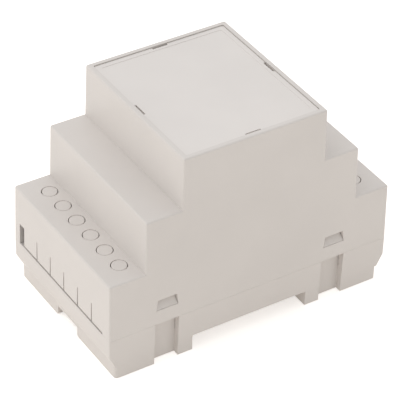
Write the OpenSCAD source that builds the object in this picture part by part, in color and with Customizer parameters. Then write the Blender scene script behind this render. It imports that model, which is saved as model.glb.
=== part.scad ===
// Empty moulded enclosure for a 35 mm mounting rail, with a stepped cover, a snap-in front
// panel and a sliding rail latch. X runs along the rail, Y along the housing and Z away from
// the rail. The origin is the middle of the footprint, level with the feet. Sizes are in
// millimetres and slopes in degrees.

/* [Housing] */
// Modules that the housing is wide
modules = 3; // [2:1:6]
// Width of one module
module_w = 17.5; // [17.2:0.1:18]
// Length over the terminal ends, at the seam
body_l = 90; // [86:1:96]
// Height over everything
body_h = 65; // [60:1:72]
// Wall thickness of the mouldings
wall = 2; // [1.6:0.1:2.4]
// Radius of the outer edges
edge_r = 0.5; // [0.3:0.1:0.8]
// Gap between mouldings that snap together
fit = 0.15; // [0.1:0.05:0.25]

/* [Cover] */
// Height of the seam between base and cover
seam_z = 14; // [13:0.5:15]
// Height of the terminal steps
low_z = 32.2; // [29:0.2:36]
// Height of the middle steps
mid_z = 48.8; // [44:0.2:54]
// Length of the middle block at the terminal steps
mid_l = 67.6; // [64:0.2:70]
// Length of the top block at the middle steps
top_l = 45.2; // [42:0.2:50]
// Lean of the side walls
side_draft = 1; // [0.5:0.1:1.5]
// Lean of the end walls
end_draft = 0.8; // [0.4:0.1:1.2]

/* [Front panel] */
// Width of the cover's rim round the panel
rim_w = 1.5; // [1.2:0.1:1.8]
// Thickness of the panel
panel_t = 1.6; // [1.2:0.1:2]
// Width of the ledge that the panel lies on
ledge_w = 2.5; // [2:0.1:3]
// Thickness of that ledge
ledge_t = 1.6; // [1.2:0.1:2]
// Border round the shallow label field
label_border = 1.5; // [1:0.1:2.5]
// Depth of the label field
label_d = 0.2; // [0.1:0.05:0.4]
// Length of the slot in the middle of each edge
slot_l = 4.8; // [4:0.1:7]
// Width of that slot
slot_w = 0.6; // [0.4:0.1:0.8]
// Thickness of the panel's snap legs
leg_t = 1.2; // [1:0.1:1.6]
// Reach of their hooks
leg_hook = 1.1; // [0.8:0.1:1.3]

/* [Side snaps] */
// Distance of the snaps from the middle
snap_y = 27; // [25:0.5:29]
// Height of the lower edge of a snap window
window_z = 18.5; // [17.5:0.5:21]
// Height of a snap window
window_h = 3.5; // [3:0.1:4.5]
// Width of a snap window at its lower edge
window_w = 6.9; // [6.5:0.1:7.2]
// Width of a snap window at its upper edge
window_top_w = 6; // [5.5:0.1:6.4]
// Thickness of a snap arm
arm_t = 1.5; // [1.2:0.1:1.8]
// Height of a snap arm above its window
arm_rise = 1.2; // [1:0.1:1.4]
// Height of a snap arm's pad above the floor
arm_pad_h = 1; // [0.8:0.1:1.2]
// Width of that pad beside the channel
arm_pad_side = 1.5; // [1.2:0.1:1.8]
// Width of the channel below a snap window
channel_w = 7.5; // [7.3:0.1:8.5]

/* [Terminal ends] */
// Pitch of the terminals
terminal_pitch = 7.5; // [7:0.1:8]
// Outer diameter of a knock-out ring
ring_d = 4.8; // [4:0.1:5.5]
// Width of its groove
ring_groove = 0.35; // [0.25:0.05:0.5]
// Depth of its groove
ring_depth = 1.2; // [0.8:0.1:1.4]
// Distance of the rings from the terminal end
ring_inset = 7.3; // [6.5:0.1:8]
// Height of the gap under the break-out tabs
tab_gap = 1.5; // [1:0.1:2]
// Height of the slits between the tabs, above the seam
slit_h = 6.8; // [5:0.1:8]
// Width of a slit at its top
slit_top_w = 0.35; // [0.3:0.05:0.5]
// Width of a slit at its foot
slit_foot_w = 0.6; // [0.5:0.05:0.8]
// Width of the open slot before the first tab
end_slot_w = 1.65; // [1.2:0.05:2.5]
// Thickness of the tabs
tab_t = 0.8; // [0.6:0.1:1.2]

/* [Base] */
// Height of the rail seat, the underside of the floor
seat_z = 5; // [4.6:0.1:5.5]
// Thickness of the floor
floor_t = 2; // [1.6:0.1:2.4]
// Lean of the base's walls
base_draft = 1.25; // [0.8:0.05:1.6]
// Height of the upper edge of the end chamfer
chamfer_z = 8.15; // [7.8:0.05:9.5]
// Height of the lower edge of the end chamfer
foot_z = 4.35; // [4:0.05:4.6]
// Depth of the end chamfer
chamfer_in = 1.9; // [1.2:0.1:2.2]
// Height and depth of the shadow line at the seam
seam_line = 0.3; // [0.2:0.05:0.4]
// Height of the locating lip above the seam
lip_h = 2; // [1.5:0.1:2.5]
// Thickness of the locating lip
lip_t = 1.2; // [1:0.1:1.5]

/* [Board posts] */
// Distance between the posts across the housing
post_span_x = 32; // [24:1:36]
// Distance between the posts along the housing
post_span_y = 66; // [60:1:70]
// Diameter of a post
post_d = 5; // [4.5:0.1:6]
// Height of a post above the floor
post_h = 4; // [3:0.5:6]
// Diameter of its pilot hole
pilot_d = 2.2; // [1.8:0.1:2.6]
// Depth of its pilot hole
pilot_depth = 5; // [3:0.5:5.2]

/* [Rail hooks] */
// Width of the mounting rail
rail_w = 35; // [35:0.1:35.4]
// Thickness of the mounting rail
rail_t = 1; // [1:0.1:1.5]
// Width of the slot that the rail lies in
rail_slot_w = 37.2; // [36.4:0.1:38]
// Gap over and beside the rail's flange
rail_gap = 0.25; // [0.1:0.05:0.3]
// Grip of the fixed hooks under the rail
hook_grip = 2; // [1.5:0.1:2.5]
// Width of a fixed hook
hook_w = 10; // [6:0.5:12]
// Distance between the fixed hooks
hook_span = 28; // [24:0.5:32]
// Thickness of a fixed hook
hook_t = 2; // [1.6:0.1:2.4]

/* [Rail latch] */
// Width of the latch
latch_w = 10; // [9:0.2:12]
// Thickness of the latch
latch_t = 1.9; // [1.6:0.1:2]
// Height of the latch above the feet
latch_z = 1; // [0.9:0.1:1.1]
// Grip of the latch under the rail
latch_grip = 1.6; // [1.2:0.1:2]
// Travel of the latch
latch_travel = 3; // [2.5:0.1:3.5]
// Running gap round the latch
latch_gap = 0.3; // [0.25:0.05:0.4]
// Length of the latch's raised lip
lip_l = 3.2; // [2.5:0.1:3.5]
// Height of the blunt edge above the lip's lead-in
lip_edge = 0.8; // [0.6:0.1:1]
// Length of the spring fingers
finger_l = 11; // [9:0.5:13]
// Distance from the guide ribs to the root of a spring finger
finger_set = 1; // [0.8:0.1:1.2]
// Thickness of the spring fingers
finger_t = 1.1; // [0.9:0.1:1.4]
// Width of the slot beside a spring finger
finger_slot = 1; // [0.8:0.1:1.4]
// Reach of the nose on a spring finger
nose_out = 0.8; // [0.6:0.1:1]
// Length of that nose
nose_l = 1.6; // [1.2:0.1:2]
// Width of the screwdriver slot
pry_w = 5.2; // [4:0.1:6]
// Length of the screwdriver slot
pry_l = 1.6; // [1.2:0.1:2]
// Bar left outside the screwdriver slot
pry_bar = 1.5; // [1.2:0.1:2]
// Thickness of the latch's guide ribs
guide_t = 2; // [1.6:0.1:2.4]
// Reach of the guide ribs round the latch
guide_toe = 1; // [0.8:0.1:1.2]
// Height of the screwdriver notch in the foot
notch_h = 3.2; // [3.1:0.1:3.6]

/* [Hidden] */

shell_grey = [0.87, 0.85, 0.82];
latch_grey = [0.84, 0.82, 0.79];

// Segments of the small edge rounds, and of full circles
corner_fn = 24;
$fn = 48;
// Overrun of cutting tools past a face
over = 1;

body_w = modules * module_w;
terminals = 2 * modules;
terminals_w = terminals * terminal_pitch;
base_top = seat_z + floor_t;

// The panel lies on its ledge with its face level with the rim
panel_z = body_h - panel_t;
ledge_z = panel_z - ledge_t;

// Half width and half lengths of the cover's outside at height z
function cover_hw(z) = body_w / 2 - (z - seam_z) * tan(side_draft);
function low_hl(z) = body_l / 2 - (z - seam_z) * tan(end_draft);
function mid_hl(z) = mid_l / 2 - (z - low_z) * tan(end_draft);
function top_hl(z) = top_l / 2 - (z - mid_z) * tan(end_draft);

// Half width and half length of the base's outside at height z, above its end chamfer
function base_hw(z) = body_w / 2 - (seam_z - z) * tan(base_draft);
function base_hl(z) = body_l / 2 - (seam_z - z) * tan(base_draft);
foot_hl = base_hl(chamfer_z) - chamfer_in;

// Half sizes of the panel's seat in the rim
seat_hw = cover_hw(body_h) - rim_w;
seat_hl = top_hl(body_h) - rim_w;

// Snap arms stand just inside the cover's wall, a little higher than their windows
arm_top = window_z + window_h + arm_rise;
arm_x = cover_hw(arm_top) - wall - fit;
arm_w = channel_w - 2 * fit;
arm_root = base_top + arm_pad_h;
arm_pad = channel_w / 2 + arm_pad_side;

// Places along the latch, all on the negative side of Y
rail_wall = rail_slot_w / 2;
latch_tip = rail_w / 2 - latch_grip;
latch_tail = foot_hl - wall - 2 * latch_gap;
latch_top = latch_z + latch_t;
latch_lip_top = seat_z - rail_t - rail_gap;
guide_start = latch_tip + lip_l + latch_travel + latch_gap;
guide_end = foot_hl - wall;
finger_root = guide_start + finger_set;
nose_y = finger_root + finger_l - nose_l;
groove_hw = latch_w / 2 + latch_gap;

// Extrudes an outline drawn in Y and Z along X, or one drawn in X and Z along Y
module along_x(w) rotate([90, 0, 90]) linear_extrude(w, center = true) children();
module along_y(l) rotate([90, 0, 0]) linear_extrude(l, center = true) children();

// A copy at both ends of the housing, the second turned half round
module both_ends() {
    children();
    rotate(180) children();
}

// A copy at both sides of the housing
module both_sides() {
    children();
    mirror([1, 0, 0]) children();
}

// A rounded rectangle between -x and x, and -y and y
module round_plan(x, y, r) {
    square([2 * x, 2 * (y - r)], center = true);
    square([2 * (x - r), 2 * y], center = true);
    for (sx = [-1, 1], sy = [-1, 1])
        translate([sx * (x - r), sy * (y - r)]) circle(r);
}

// A block from x1, y1, z1 to x2, y2, z2
module block(from, to) translate(from) cube(to - from);

// ---- Cover ----

// A quarter-round cap for the upper end of a rounded corner
module corner_cap() rotate_extrude($fn = corner_fn) intersection() {
    circle(edge_r, $fn = corner_fn);
    square(edge_r);
}

// One of the cover's blocks, with leaning walls and rounded edges, from below the seam up.
// root_hl is its half length at its root and rim_hl where its upper edges start to round.
module cover_block(top_z, root_hl, rim_hl) {
    foot = seam_z - over;
    hull() for (sx = [-1, 1], sy = [-1, 1]) {
        translate([sx * (cover_hw(foot) - edge_r), sy * (root_hl - edge_r), foot - over])
            cylinder(r = edge_r, h = over, $fn = corner_fn);
        translate([sx * (cover_hw(top_z - edge_r) - edge_r), sy * (rim_hl - edge_r), top_z - edge_r])
            corner_cap();
    }
}

module cover_outside() intersection() {
    union() {
        cover_block(low_z, low_hl(seam_z - over), low_hl(low_z - edge_r));
        cover_block(mid_z, mid_hl(seam_z - over), mid_hl(mid_z - edge_r));
        cover_block(body_h, top_hl(seam_z - over), top_hl(body_h - edge_r));
    }
    block([-body_w, -body_l, seam_z], [body_w, body_l, body_h + over]);
}

// The hollow follows the outside, one wall further in
module cover_hollow() {
    low = low_z - wall;
    mid = mid_z - wall;
    half = [
        [low_hl(seam_z) - wall, seam_z - over],
        [low_hl(low) - wall, low],
        [mid_hl(low) - wall, low],
        [mid_hl(mid) - wall, mid],
        [top_hl(mid) - wall, mid],
        [top_hl(ledge_z) - wall, ledge_z]
    ];
    foot = cover_hw(seam_z - over) - wall;
    top = cover_hw(body_h) - wall;
    intersection() {
        along_x(body_w)
            polygon(concat(half, [for (i = [len(half) - 1:-1:0]) [-half[i][0], half[i][1]]]));
        along_y(body_l)
            polygon([[-foot, seam_z - over], [foot, seam_z - over], [top, body_h], [-top, body_h]]);
    }
}

// The seat of the front panel, the opening inside it and the catches for the panel's legs
module panel_seat() {
    translate([0, 0, panel_z]) linear_extrude(panel_t + over) round_plan(seat_hw, seat_hl, edge_r);
    translate([0, 0, ledge_z - over])
        linear_extrude(ledge_t + 2 * over) round_plan(seat_hw - ledge_w, seat_hl - ledge_w, 2 * edge_r);
    both_ends() {
        rotate(90) panel_catch(seat_hl);
        panel_catch(seat_hw);
    }
}

// The way for one leg through the ledge, and the pocket in the wall that its hook catches in
module panel_catch(edge) {
    half = slot_l / 2 + fit;
    hook_out = edge - fit - slot_w + leg_hook + fit;
    block([edge - ledge_w - over, -half, ledge_z - over], [edge - slot_w / 2, half, panel_z + over]);
    block([edge - ledge_w, -half, ledge_z - leg_hook - 2 * fit], [hook_out, half, ledge_z]);
}

// A window for a snap hook, through both side walls
module snap_window() along_x(body_w + over) polygon([
    [-window_w / 2, window_z], [window_w / 2, window_z],
    [window_top_w / 2, window_z + window_h], [-window_top_w / 2, window_z + window_h]
]);

// The groove round one knock-out
module knock_out_ring() translate([0, 0, low_z - ring_depth]) difference() {
    cylinder(d = ring_d, h = ring_depth + over);
    translate([0, 0, -over]) cylinder(d = ring_d - 2 * ring_groove, h = ring_depth + 3 * over);
}

// The knock-outs and break-out tabs of one terminal end, at negative Y
module terminal_end() {
    first = -terminals_w / 2;
    face = -body_l / 2 - over;
    slit_top = seam_z + slit_h;
    inside = -low_hl(slit_top) + tab_t;
    for (i = [0:terminals - 1])
        translate([first + (i + 0.5) * terminal_pitch, ring_inset - body_l / 2, 0]) knock_out_ring();
    // the wall behind the tabs is thinned from the inside
    block([first, inside, seam_z - over], [-first, wall - body_l / 2 + over, slit_top]);
    // the gap below the tabs, and the open slot before the first one
    block([first, face, seam_z - over], [-first, inside + over, seam_z + tab_gap]);
    block([first, face, seam_z - over], [first + end_slot_w, inside + over, slit_top]);
    for (i = [1:terminals - 1])
        translate([first + end_slot_w + i * terminal_pitch, face + (inside + over - face) / 2, 0])
            along_y(inside + over - face) polygon([
                [-slit_foot_w / 2, seam_z], [slit_foot_w / 2, seam_z],
                [slit_top_w / 2, slit_top], [-slit_top_w / 2, slit_top]
            ]);
}

module cover() color(shell_grey) difference() {
    cover_outside();
    cover_hollow();
    panel_seat();
    for (y = [-snap_y, snap_y]) translate([0, y, 0]) snap_window();
    both_ends() terminal_end();
}

// ---- Front panel ----

// One snap leg, with its hook outwards and a lead-in below it
module panel_leg(edge) {
    outer = edge - slot_w;
    foot = ledge_z - fit - leg_hook;
    width = slot_l - 2 * fit;
    along_y(width) polygon([
        [outer - leg_t, panel_z + over / 2], [outer - leg_t, foot], [outer, foot],
        [outer + leg_hook, ledge_z - fit - leg_hook / 3], [outer + leg_hook, ledge_z - fit],
        [outer, ledge_z - fit], [outer, panel_z + over / 2]
    ]);
}

module front_panel() color(shell_grey) {
    hw = seat_hw - fit;
    hl = seat_hl - fit;
    difference() {
        translate([0, 0, panel_z]) linear_extrude(panel_t) round_plan(hw, hl, edge_r);
        translate([0, 0, body_h - label_d])
            linear_extrude(label_d + over) round_plan(hw - label_border, hl - label_border, edge_r);
        both_ends() {
            block([hw - slot_w, -slot_l / 2, panel_z - over], [hw + over, slot_l / 2, body_h + over]);
            block([-slot_l / 2, hl - slot_w, panel_z - over], [slot_l / 2, hl + over, body_h + over]);
        }
    }
    both_ends() {
        panel_leg(hw);
        rotate(90) panel_leg(hl);
    }
}

// ---- Base ----

// The base's outside: leaning walls, chamfered ends and rounded corners
module base_outside() intersection() {
    along_x(body_w + over) polygon([
        [-foot_hl, 0], [foot_hl, 0], [foot_hl, foot_z], [base_hl(chamfer_z), chamfer_z],
        [base_hl(seam_z), seam_z], [-base_hl(seam_z), seam_z],
        [-base_hl(chamfer_z), chamfer_z], [-foot_hl, foot_z]
    ]);
    along_y(body_l + over) polygon([
        [-base_hw(0), 0], [base_hw(0), 0], [base_hw(seam_z), seam_z], [-base_hw(seam_z), seam_z]
    ]);
    union() {
        linear_extrude(foot_z) round_plan(base_hw(0), foot_hl, 2 * edge_r);
        translate([0, 0, foot_z])
            linear_extrude(seam_z - foot_z) round_plan(base_hw(seam_z), base_hl(seam_z), edge_r);
    }
}

// The tray above the floor, one wall inside the outside
module base_tray() intersection() {
    slope = chamfer_in / (chamfer_z - foot_z);
    low = base_hl(chamfer_z) - wall - (chamfer_z - base_top) * slope;
    top = base_hl(seam_z + over) - wall;
    kink = base_hl(chamfer_z) - wall;
    along_x(body_w) polygon([
        [-low, base_top], [low, base_top], [kink, chamfer_z], [top, seam_z + over],
        [-top, seam_z + over], [-kink, chamfer_z]
    ]);
    along_y(body_l) polygon([
        [wall - base_hw(base_top), base_top], [base_hw(base_top) - wall, base_top],
        [base_hw(seam_z + over) - wall, seam_z + over], [wall - base_hw(seam_z + over), seam_z + over]
    ]);
}

// The shadow line round the upper edge of the base
module seam_rebate() difference() {
    block([-body_w, -body_l, seam_z - seam_line], [body_w, body_l, seam_z + over]);
    translate([0, 0, seam_z - seam_line - over]) linear_extrude(seam_line + 3 * over)
        round_plan(base_hw(seam_z) - seam_line, base_hl(seam_z) - seam_line, edge_r);
}

// The hollow of one foot, below the floor
module foot_hollow() block(
    [wall - base_hw(0), rail_wall + wall, -over],
    [base_hw(0) - wall, foot_hl - wall, seat_z]
);

// A snap arm with its hook, and the pad that carries it
module snap_arm() {
    block([arm_x - arm_t, -arm_pad, 0], [base_hw(0) - wall / 2, arm_pad, arm_root]);
    block([arm_x - arm_t, -arm_w / 2, base_top], [arm_x, arm_w / 2, arm_top]);
    along_y(window_top_w - 2 * fit) polygon([
        [arm_x - arm_t / 2, window_z + fit], [cover_hw(window_z), window_z + fit],
        [cover_hw(window_z), window_z + 2 * fit], [arm_x, window_z + window_h - fit],
        [arm_x - arm_t / 2, window_z + window_h - fit]
    ]);
}

// The channel that leaves a snap arm's outer face bare from below
module snap_channel() block(
    [arm_x, -channel_w / 2, -over],
    [body_w, channel_w / 2, seam_z + over]
);

// The lip that locates the cover, between the snap arms
module locating_lip() {
    length = 2 * (snap_y - arm_pad - wall);
    along_y(length) polygon([
        [arm_x, seam_z], [arm_x, seam_z + lip_h - lip_t / 3], [arm_x - lip_t / 3, seam_z + lip_h],
        [arm_x - lip_t, seam_z + lip_h], [arm_x - lip_t, seam_z - lip_t],
        [base_hw(0) - wall / 2, seam_z - 2 * lip_t], [base_hw(0) - wall / 2, seam_z]
    ]);
}

// The posts for a circuit board, with blind pilot holes
module at_posts() for (sx = [-1, 1], sy = [-1, 1])
    translate([sx * post_span_x / 2, sy * post_span_y / 2, base_top]) children();

module board_post() translate([0, 0, -floor_t / 2]) cylinder(d = post_d, h = post_h + floor_t / 2);
module pilot_hole() translate([0, 0, post_h - pilot_depth]) cylinder(d = pilot_d, h = pilot_depth + over);

// A fixed hook under the rail's flange, with a stop beside the flange, at positive Y
module rail_hook() {
    tip = rail_w / 2 - hook_grip;
    top = seat_z - rail_t - rail_gap;
    stop = rail_w / 2 + rail_gap;
    root = rail_wall + wall / 2;
    along_x(hook_w) polygon([
        [root, top - hook_t], [tip + hook_t / 2, top - hook_t], [tip, top - hook_t / 2],
        [tip, top], [stop, top], [stop, seat_z + floor_t / 2], [root, seat_z + floor_t / 2]
    ]);
}

// A guide rib beside the latch, with the pocket for the nose of a spring finger, at negative Y
module latch_guide() {
    inner = latch_w / 2 - guide_toe;
    pocket_out = latch_w / 2 + nose_out + latch_gap;
    difference() {
        block([inner, -guide_end - wall / 2, 0], [groove_hw + guide_t, -guide_start, seat_z + floor_t / 2]);
        block([inner - over, -guide_end - wall, latch_z - latch_gap],
              [groove_hw, -guide_start + over, latch_top + latch_gap]);
        block([inner, -nose_y - nose_l - latch_travel - latch_gap, latch_z - latch_gap],
              [pocket_out, latch_gap - nose_y, latch_top + latch_gap]);
    }
}

// The window for the latch in the wall beside the rail
module latch_window() block(
    [-groove_hw, -rail_wall - wall - over, latch_z - latch_gap],
    [groove_hw, over - rail_wall, latch_lip_top + latch_gap]
);

// The notch in the outer foot wall that a screwdriver reaches the latch through
module driver_notch() translate([0, -foot_hl, 0]) along_y(2 * wall + over) polygon([
    [-groove_hw - edge_r, -over], [groove_hw + edge_r, -over], [groove_hw + edge_r, 0],
    [groove_hw, edge_r], [groove_hw, notch_h], [-groove_hw, notch_h],
    [-groove_hw, edge_r], [-groove_hw - edge_r, 0]
]);

module base() color(shell_grey) difference() {
    union() {
        difference() {
            base_outside();
            base_tray();
            both_ends() foot_hollow();
            block([-body_w, -rail_wall, -over], [body_w, rail_wall, seat_z]);
            seam_rebate();
        }
        for (y = [-snap_y, snap_y]) translate([0, y, 0]) both_sides() snap_arm();
        both_sides() {
            locating_lip();
            latch_guide();
            translate([hook_span / 2, 0, 0]) rail_hook();
        }
        at_posts() board_post();
    }
    for (y = [-snap_y, snap_y]) translate([0, y, 0]) both_sides() snap_channel();
    at_posts() pilot_hole();
    latch_window();
    driver_notch();
}

// ---- Rail latch ----

// Half of the latch's outline, on the positive side of X, at negative Y: a plate with a
// finger cut free along its edge, and a nose on the finger's free end
module latch_half() {
    half = latch_w / 2;
    nose_end = nose_y + nose_l;
    difference() {
        union() {
            translate([0, -latch_tail + edge_r]) square([half, latch_tail - edge_r - latch_tip]);
            translate([0, -latch_tail]) square([half - edge_r, edge_r + over]);
            translate([half - edge_r, -latch_tail + edge_r]) circle(edge_r);
            polygon([
                [half - finger_t, -nose_y], [half + nose_out, -nose_y],
                [half + nose_out, -nose_y - nose_l / 2], [half, -nose_end], [half - finger_t, -nose_end]
            ]);
        }
        translate([half - finger_t - finger_slot, -nose_end - finger_slot])
            square([finger_slot, finger_l + finger_slot]);
        translate([half - finger_t - finger_slot, -nose_end - finger_slot])
            square([finger_t + finger_slot + over, finger_slot]);
    }
}

module rail_latch() color(latch_grey) {
    lead = latch_lip_top - latch_z - lip_edge;
    difference() {
        union() {
            translate([0, 0, latch_z]) linear_extrude(latch_t) {
                latch_half();
                mirror([1, 0]) latch_half();
            }
            block([-latch_w / 2, -latch_tip - lip_l, latch_z], [latch_w / 2, -latch_tip, latch_lip_top]);
        }
        translate([0, -latch_tip, 0]) along_x(latch_w + over) polygon([
            [-lead, latch_z - over], [over, latch_z - over],
            [over, latch_z + lead + over], [-lead - over, latch_z - over]
        ]);
        block([-pry_w / 2, -latch_tail + pry_bar, latch_z - over],
              [pry_w / 2, -latch_tail + pry_bar + pry_l, latch_top + over]);
    }
}

base();
cover();
front_panel();
rail_latch();
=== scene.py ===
"""The looks of the rail-mounted enclosure: plastic finishes, floor, lights and camera."""

import math

import bmesh
import bpy
from mathutils import Matrix, Vector


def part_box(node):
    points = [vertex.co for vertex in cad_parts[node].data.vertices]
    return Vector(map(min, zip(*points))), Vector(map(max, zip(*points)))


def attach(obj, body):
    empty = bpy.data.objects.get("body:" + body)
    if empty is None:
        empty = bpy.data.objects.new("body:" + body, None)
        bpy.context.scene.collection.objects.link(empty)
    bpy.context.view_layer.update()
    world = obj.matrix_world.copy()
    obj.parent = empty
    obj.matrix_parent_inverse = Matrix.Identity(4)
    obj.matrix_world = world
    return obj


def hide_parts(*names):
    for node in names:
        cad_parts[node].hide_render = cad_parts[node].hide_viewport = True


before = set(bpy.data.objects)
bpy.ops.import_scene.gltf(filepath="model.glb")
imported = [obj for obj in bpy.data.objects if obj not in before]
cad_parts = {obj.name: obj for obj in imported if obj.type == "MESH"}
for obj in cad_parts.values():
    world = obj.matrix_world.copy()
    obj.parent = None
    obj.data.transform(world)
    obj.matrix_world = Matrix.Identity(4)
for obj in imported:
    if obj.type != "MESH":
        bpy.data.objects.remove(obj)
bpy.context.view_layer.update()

# Camera: where it looks, from how far, and how it is turned
AIM = Vector((0.00171, -0.00168, 0.02889))
AZIMUTH = math.radians(56.71)
ELEVATION = math.radians(37.04)
ROLL = math.radians(-1.855)
DISTANCE = 0.61703
SENSOR = 36.0
LENS = 200.9

# Colours are written as they show on screen
SHELL = (0.872, 0.850, 0.832)
PANEL = (0.903, 0.882, 0.866)
LATCH = (0.860, 0.835, 0.815)
FLOOR = (0.99, 0.975, 0.955)

# The warm tint of the light that the floor and the fill throw on the object, in linear values
WARM = (1.0, 0.90, 0.80)

# Floor: half its side in metres, and how strongly it glows for the camera and towards the object
FLOOR_HALF = 4.0
FLOOR_GLOW = 0.5
FLOOR_BOUNCE = 0.10

# The white tent: its level of light, and how that leans along X, Y and Z
TENT_LEVEL = 0.80
TENT_LEAN = (-0.24, -0.04, 0.04)

# Plastic: flow marks per metre, and how much darker and paler they are than the colour
FLOW_MARKS = 38.0
FLOW_DARKER = 0.988
FLOW_PALER = 1.008
# Size and depth of the eroded grain in metres, and how the gloss varies with it
GRAIN = 0.00022
GRAIN_DEPTH = 0.000012
GLOSS_BELOW = 0.05
GLOSS_ABOVE = 0.06


def linear(colour):
    """The linear values of a colour as it shows on screen, with an alpha of one."""
    parts = [c / 12.92 if c <= 0.04045 else ((c + 0.055) / 1.055) ** 2.4 for c in colour]
    return (*parts, 1.0)


# ---- Materials ----


def add_node(tree, kind, **inputs):
    """A shader node with some of its inputs set; names use _ for a space."""
    node = tree.nodes.new(kind)
    for name, value in inputs.items():
        node.inputs[name.replace("_", " ")].default_value = value
    return node


def moulded_plastic(name, colour, roughness=0.48):
    """Matt moulded plastic: a fine eroded grain, faint flow marks and uneven gloss."""
    material = bpy.data.materials.new(name)
    material.use_nodes = True
    tree = material.node_tree
    link = tree.links.new
    shader = tree.nodes["Principled BSDF"]
    shader.inputs["Specular IOR Level"].default_value = 0.42

    place = tree.nodes.new("ShaderNodeTexCoord")
    clouds = add_node(tree, "ShaderNodeTexNoise", Scale=FLOW_MARKS, Detail=3.0, Roughness=0.55)
    fine = add_node(tree, "ShaderNodeTexNoise", Scale=1.0 / GRAIN, Detail=2.0, Roughness=0.6)
    link(place.outputs["Object"], clouds.inputs["Vector"])
    link(place.outputs["Object"], fine.inputs["Vector"])

    tint = tree.nodes.new("ShaderNodeValToRGB")
    low, high = tint.color_ramp.elements
    low.position, high.position = 0.3, 0.7
    low.color = linear([c * FLOW_DARKER for c in colour])
    high.color = linear([min(1.0, c * FLOW_PALER) for c in colour])
    link(clouds.outputs["Fac"], tint.inputs["Fac"])
    link(tint.outputs["Color"], shader.inputs["Base Color"])

    gloss = add_node(tree, "ShaderNodeMapRange")
    gloss.inputs["To Min"].default_value = roughness - GLOSS_BELOW
    gloss.inputs["To Max"].default_value = roughness + GLOSS_ABOVE
    link(fine.outputs["Fac"], gloss.inputs["Value"])
    link(gloss.outputs["Result"], shader.inputs["Roughness"])

    bump = add_node(tree, "ShaderNodeBump", Strength=0.35, Distance=GRAIN_DEPTH)
    link(fine.outputs["Fac"], bump.inputs["Height"])
    link(bump.outputs["Normal"], shader.inputs["Normal"])
    return material


def pale_floor():
    """A floor that shows white to the camera and still takes the object's shadow."""
    material = bpy.data.materials.new("floor_white")
    material.use_nodes = True
    tree = material.node_tree
    tree.nodes.clear()
    link = tree.links.new
    matt = add_node(tree, "ShaderNodeBsdfDiffuse", Color=linear(FLOOR))
    glow = add_node(tree, "ShaderNodeEmission", Strength=FLOOR_GLOW)
    bounce = add_node(tree, "ShaderNodeEmission", Color=(*WARM, 1.0), Strength=FLOOR_BOUNCE)
    lit = tree.nodes.new("ShaderNodeAddShader")
    both = tree.nodes.new("ShaderNodeAddShader")
    mix = tree.nodes.new("ShaderNodeMixShader")
    rays = tree.nodes.new("ShaderNodeLightPath")
    seen = tree.nodes.new("ShaderNodeMath")
    seen.operation = "MAXIMUM"
    out = tree.nodes.new("ShaderNodeOutputMaterial")
    link(rays.outputs["Is Camera Ray"], seen.inputs[0])
    link(rays.outputs["Is Glossy Ray"], seen.inputs[1])
    link(matt.outputs["BSDF"], both.inputs[0])
    link(glow.outputs["Emission"], both.inputs[1])
    link(seen.outputs["Value"], mix.inputs["Fac"])
    link(matt.outputs["BSDF"], lit.inputs[0])
    link(bounce.outputs["Emission"], lit.inputs[1])
    link(lit.outputs["Shader"], mix.inputs[1])
    link(both.outputs["Shader"], mix.inputs[2])
    link(mix.outputs["Shader"], out.inputs["Surface"])
    return material


def dress(piece, material):
    """The piece wears this material and no other."""
    piece.data.materials.clear()
    piece.data.materials.append(material)


shell = moulded_plastic("shell_plastic", SHELL)
panel = moulded_plastic("panel_plastic", PANEL, roughness=0.52)
latch = moulded_plastic("latch_plastic", LATCH, roughness=0.42)
dress(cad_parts["rail_latch"], latch)

# ---- Mouldings with finer edges ----
#
# Each stands for its CAD node and keeps the node's form. Only small features are drawn finer, by
# moving their points: gaps, grooves, tabs, snap arms, hooks and the front panel's face. Sizes
# below are in millimetres.

MM = 0.001
# Points this near a size belong to it, and points this near each other, in metres, are one
NEAR = 0.02
MERGE = 1e-6

# Half width and half length at the seam, and the seam's height
HALF_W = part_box("cover")[1].x / MM
HALF_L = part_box("cover")[1].y / MM
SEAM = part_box("cover")[0].z / MM
# The shadow line at the seam: its size in the CAD node and here, and how far in it is looked for
SEAM_LINE = 0.3
FINE_SEAM = 0.05
SEAM_IN = 1.0
# Knock-out rings: pitch, place along Y, radius of the groove's inner wall in the CAD node and
# here at the top and at the floor, height of the floor, and how far out its points are looked for
RING_PITCH = 7.5
RING_Y = HALF_L - 7.3
RING_R = 2.05
FINE_RING_R = 2.12
FINE_FLOOR_R = 2.33
RING_FLOOR = 31.0
RING_REACH = 3.0
# Each knock-out is cut deep over two arcs and only marked between them
DEEP_FLOOR = 30.4
SHALLOW_FLOOR = 31.85
DEEP_TURN = math.radians(57)
DEEP_SHARE = 0.8
# Break-out tabs: height of their foot, and how far in from the ends their points are looked for
TAB_FOOT = 15.5
FINE_TAB_FOOT = 14.75
TAB_IN = 3.0
# The open slot before the first tab: its top, and the X of its sides at the -Y end, as a pair of
# the place in the CAD node and the place here
SLOT_TOP = 20.8
SLOT_SIDES = {-22.5: -23.2, -20.85: -20.65}
# Snap arms: place along Y, half width, and how far in from the large sides they are looked for
SNAP_Y = 27.0
ARM_HALF = 3.6
FINE_ARM_HALF = 4.7
ARM_IN = 4.0
# Hooks of the arms: half width at the top and at the foot, and height of the foot
HOOK_HALF = 2.85
HOOK_FOOT_HALF = 3.3
HOOK_FOOT = 18.65
FINE_HOOK_FOOT = 18.53
# Where the hooks are looked for, how thick their outer faces' zone is and how far in they move
HOOK_FROM_X = 23.9
HOOK_FROM_Z = SEAM + 1
HOOK_HALF_TO_Z = SEAM + 5
HOOK_FACE_IN = 0.5
HOOK_IN = 0.2
# The front panel: top corner, how far its face drops, and depth of the label field, in the CAD
# node and here
PANEL_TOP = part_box("front_panel")[1] / MM
PANEL_DROP = 0.3
LABEL_DEPTH = 0.2
FINE_LABEL_DEPTH = 0.1
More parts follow.
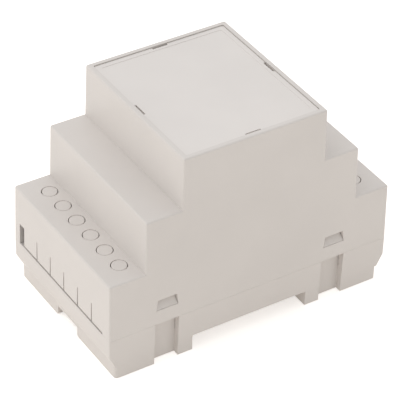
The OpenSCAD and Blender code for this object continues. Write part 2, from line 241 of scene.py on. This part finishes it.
# Its edge slots: half length, depth, inner wall from the edge, and how far that wall moves out
SLOT_HALF = 2.4
SLOT_DEPTH = 1.5
SLOT_IN = 0.6
SLOT_OUT = 0.25


def near(value, place):
    """Whether a coordinate belongs to a size."""
    return abs(value - place) < NEAR


def finer_cover(x, y, z):
    """Tapered knock-out grooves, tabs that almost reach the base, and a wider open slot."""
    end = 1 if y > 0 else -1
    middle = (math.floor(x / RING_PITCH) + 0.5) * RING_PITCH
    reach = math.hypot(x - middle, y - end * RING_Y)
    if near(reach, RING_R) and z > RING_FLOOR - NEAR:
        grow = (FINE_FLOOR_R if near(z, RING_FLOOR) else FINE_RING_R) / RING_R
        x = middle + (x - middle) * grow
        y = end * RING_Y + (y - end * RING_Y) * grow
    if near(z, RING_FLOOR) and reach < RING_REACH:
        turn = math.atan2(y - end * RING_Y, x - middle)
        deep = abs(math.cos(turn - DEEP_TURN)) > DEEP_SHARE
        z = DEEP_FLOOR if deep else SHALLOW_FLOOR
    if abs(y) > HALF_L - TAB_IN and z < SLOT_TOP + NEAR:
        if near(z, TAB_FOOT):
            z = FINE_TAB_FOOT
        for side, moved in SLOT_SIDES.items():
            if near(x, -end * side):
                x = -end * moved
    return x, y, z


def finer_base(x, y, z):
    """A hairline at the seam, snap arms wider than their channels, and tapered hooks."""
    right = 1 if x > 0 else -1
    front = 1 if y > 0 else -1
    shift = SEAM_LINE - FINE_SEAM
    inward = min(HALF_W - abs(x), HALF_L - abs(y))
    if z > SEAM - SEAM_LINE - NEAR and z < SEAM + NEAR and inward < SEAM_IN:
        if inward > SEAM_LINE - 2 * NEAR:
            if abs(x) > HALF_W - SEAM_IN:
                x += right * shift
            if abs(y) > HALF_L - SEAM_IN:
                y += front * shift
        if near(z, SEAM - SEAM_LINE):
            z = SEAM - FINE_SEAM
    across = y - front * SNAP_Y
    side = 1 if across > 0 else -1
    if abs(x) > HALF_W - ARM_IN and near(abs(across), ARM_HALF):
        y = front * SNAP_Y + side * FINE_ARM_HALF
    if z > HOOK_FROM_Z and abs(x) > HOOK_FROM_X:
        if near(abs(across), HOOK_HALF) and z < HOOK_HALF_TO_Z:
            y = front * SNAP_Y + side * HOOK_FOOT_HALF
        if abs(x) > HALF_W - HOOK_FACE_IN:
            x -= right * HOOK_IN
        if near(z, HOOK_FOOT):
            z = FINE_HOOK_FOOT
    return x, y, z


def finer_panel(x, y, z):
    """A face set a little below the rim, a fainter label field and narrower edge slots."""
    if z > PANEL_TOP.z - SLOT_DEPTH:
        if near(abs(x), PANEL_TOP.x - SLOT_IN) and abs(y) < SLOT_HALF + NEAR:
            x += math.copysign(SLOT_OUT, x)
        if near(abs(y), PANEL_TOP.y - SLOT_IN) and abs(x) < SLOT_HALF + NEAR:
            y += math.copysign(SLOT_OUT, y)
    if near(z, PANEL_TOP.z):
        z = PANEL_TOP.z - PANEL_DROP
    elif near(z, PANEL_TOP.z - LABEL_DEPTH):
        z = PANEL_TOP.z - PANEL_DROP - FINE_LABEL_DEPTH
    return x, y, z


def moulding(name, node, finer, material):
    """A copy of a CAD node whose points go through finer(x, y, z); it stands for the node."""
    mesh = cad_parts[node].data.copy()
    mesh.name = name
    shape = bmesh.new()
    shape.from_mesh(mesh)
    bmesh.ops.remove_doubles(shape, verts=shape.verts, dist=MERGE)
    for point in shape.verts:
        point.co = Vector(finer(*(point.co / MM))) * MM
    shape.to_mesh(mesh)
    shape.free()
    piece = bpy.data.objects.new(name, mesh)
    bpy.context.scene.collection.objects.link(piece)
    dress(piece, material)
    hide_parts(node)
    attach(piece, "housing")
    return piece


moulding("base_moulding", "base", finer_base, shell)
moulding("cover_moulding", "cover", finer_cover, shell)
moulding("panel_moulding", "front_panel", finer_panel, panel)

# ---- Floor, light and camera ----


def make_floor():
    """A square floor at height zero, which is part of the stage and not of the object."""
    mesh = bpy.data.meshes.new("floor")
    corners = [(FLOOR_HALF * x, FLOOR_HALF * y, 0) for x, y in ((-1, -1), (1, -1), (1, 1), (-1, 1))]
    mesh.from_pydata(corners, [], [(0, 1, 2, 3)])
    floor = bpy.data.objects.new("floor", mesh)
    bpy.context.scene.collection.objects.link(floor)
    dress(floor, pale_floor())


def area_light(name, place, target, size, power, colour=(1.0, 1.0, 1.0)):
    """A square soft light of that side, aimed at a point."""
    data = bpy.data.lights.new(name, "AREA")
    data.color = colour
    data.size = size
    data.energy = power
    lamp = bpy.data.objects.new(name, data)
    lamp.location = place
    lamp.rotation_euler = (Vector(target) - Vector(place)).to_track_quat("-Z", "Y").to_euler()
    bpy.context.scene.collection.objects.link(lamp)


def make_world():
    """A white tent: its light in a direction is TENT_LEVEL plus TENT_LEAN dotted with it."""
    world = bpy.data.worlds.new("tent")
    bpy.context.scene.world = world
    world.use_nodes = True
    tree = world.node_tree
    link = tree.links.new
    back = tree.nodes["Background"]
    back.inputs["Color"].default_value = (1.0, 1.0, 1.0, 1.0)
    place = tree.nodes.new("ShaderNodeTexCoord")
    along = tree.nodes.new("ShaderNodeVectorMath")
    along.operation = "DOT_PRODUCT"
    along.inputs[1].default_value = TENT_LEAN
    tent = tree.nodes.new("ShaderNodeMath")
    tent.inputs[1].default_value = TENT_LEVEL
    rays = tree.nodes.new("ShaderNodeLightPath")
    seen = tree.nodes.new("ShaderNodeMath")
    seen.operation = "MAXIMUM"
    pick = tree.nodes.new("ShaderNodeMix")
    pick.inputs["B"].default_value = 1.0
    link(place.outputs["Generated"], along.inputs[0])
    link(along.outputs["Value"], tent.inputs[0])
    link(rays.outputs["Is Camera Ray"], seen.inputs[0])
    link(rays.outputs["Is Transmission Ray"], seen.inputs[1])
    link(seen.outputs["Value"], pick.inputs["Factor"])
    link(tent.outputs["Value"], pick.inputs["A"])
    link(pick.outputs["Result"], back.inputs["Strength"])


def make_camera():
    """The camera looks at AIM; its axes are right, up and back, rolled about the line of sight."""
    back = Vector((
        math.sin(AZIMUTH) * math.cos(ELEVATION),
        -math.cos(AZIMUTH) * math.cos(ELEVATION),
        math.sin(ELEVATION),
    ))
    right = Vector((math.cos(AZIMUTH), math.sin(AZIMUTH), 0))
    up = back.cross(right)
    turned_right = right * math.cos(ROLL) - up * math.sin(ROLL)
    turned_up = right * math.sin(ROLL) + up * math.cos(ROLL)
    data = bpy.data.cameras.new("camera")
    data.sensor_width = SENSOR
    data.lens = LENS
    camera = bpy.data.objects.new("camera", data)
    turn = Matrix((turned_right, turned_up, back)).transposed().to_4x4()
    camera.matrix_world = Matrix.Translation(AIM + back * DISTANCE) @ turn
    bpy.context.scene.collection.objects.link(camera)
    bpy.context.scene.camera = camera


make_floor()
make_world()
area_light("key", place=(-0.3, -0.6, 1.0), target=(0, 0, 0.03), size=0.9, power=1.5)
area_light("fill", place=(1.1, 0.1, 0.25), target=(0, 0, 0), size=0.9, power=0.12, colour=WARM)
make_camera()
bpy.context.scene.view_settings.view_transform = "Standard"
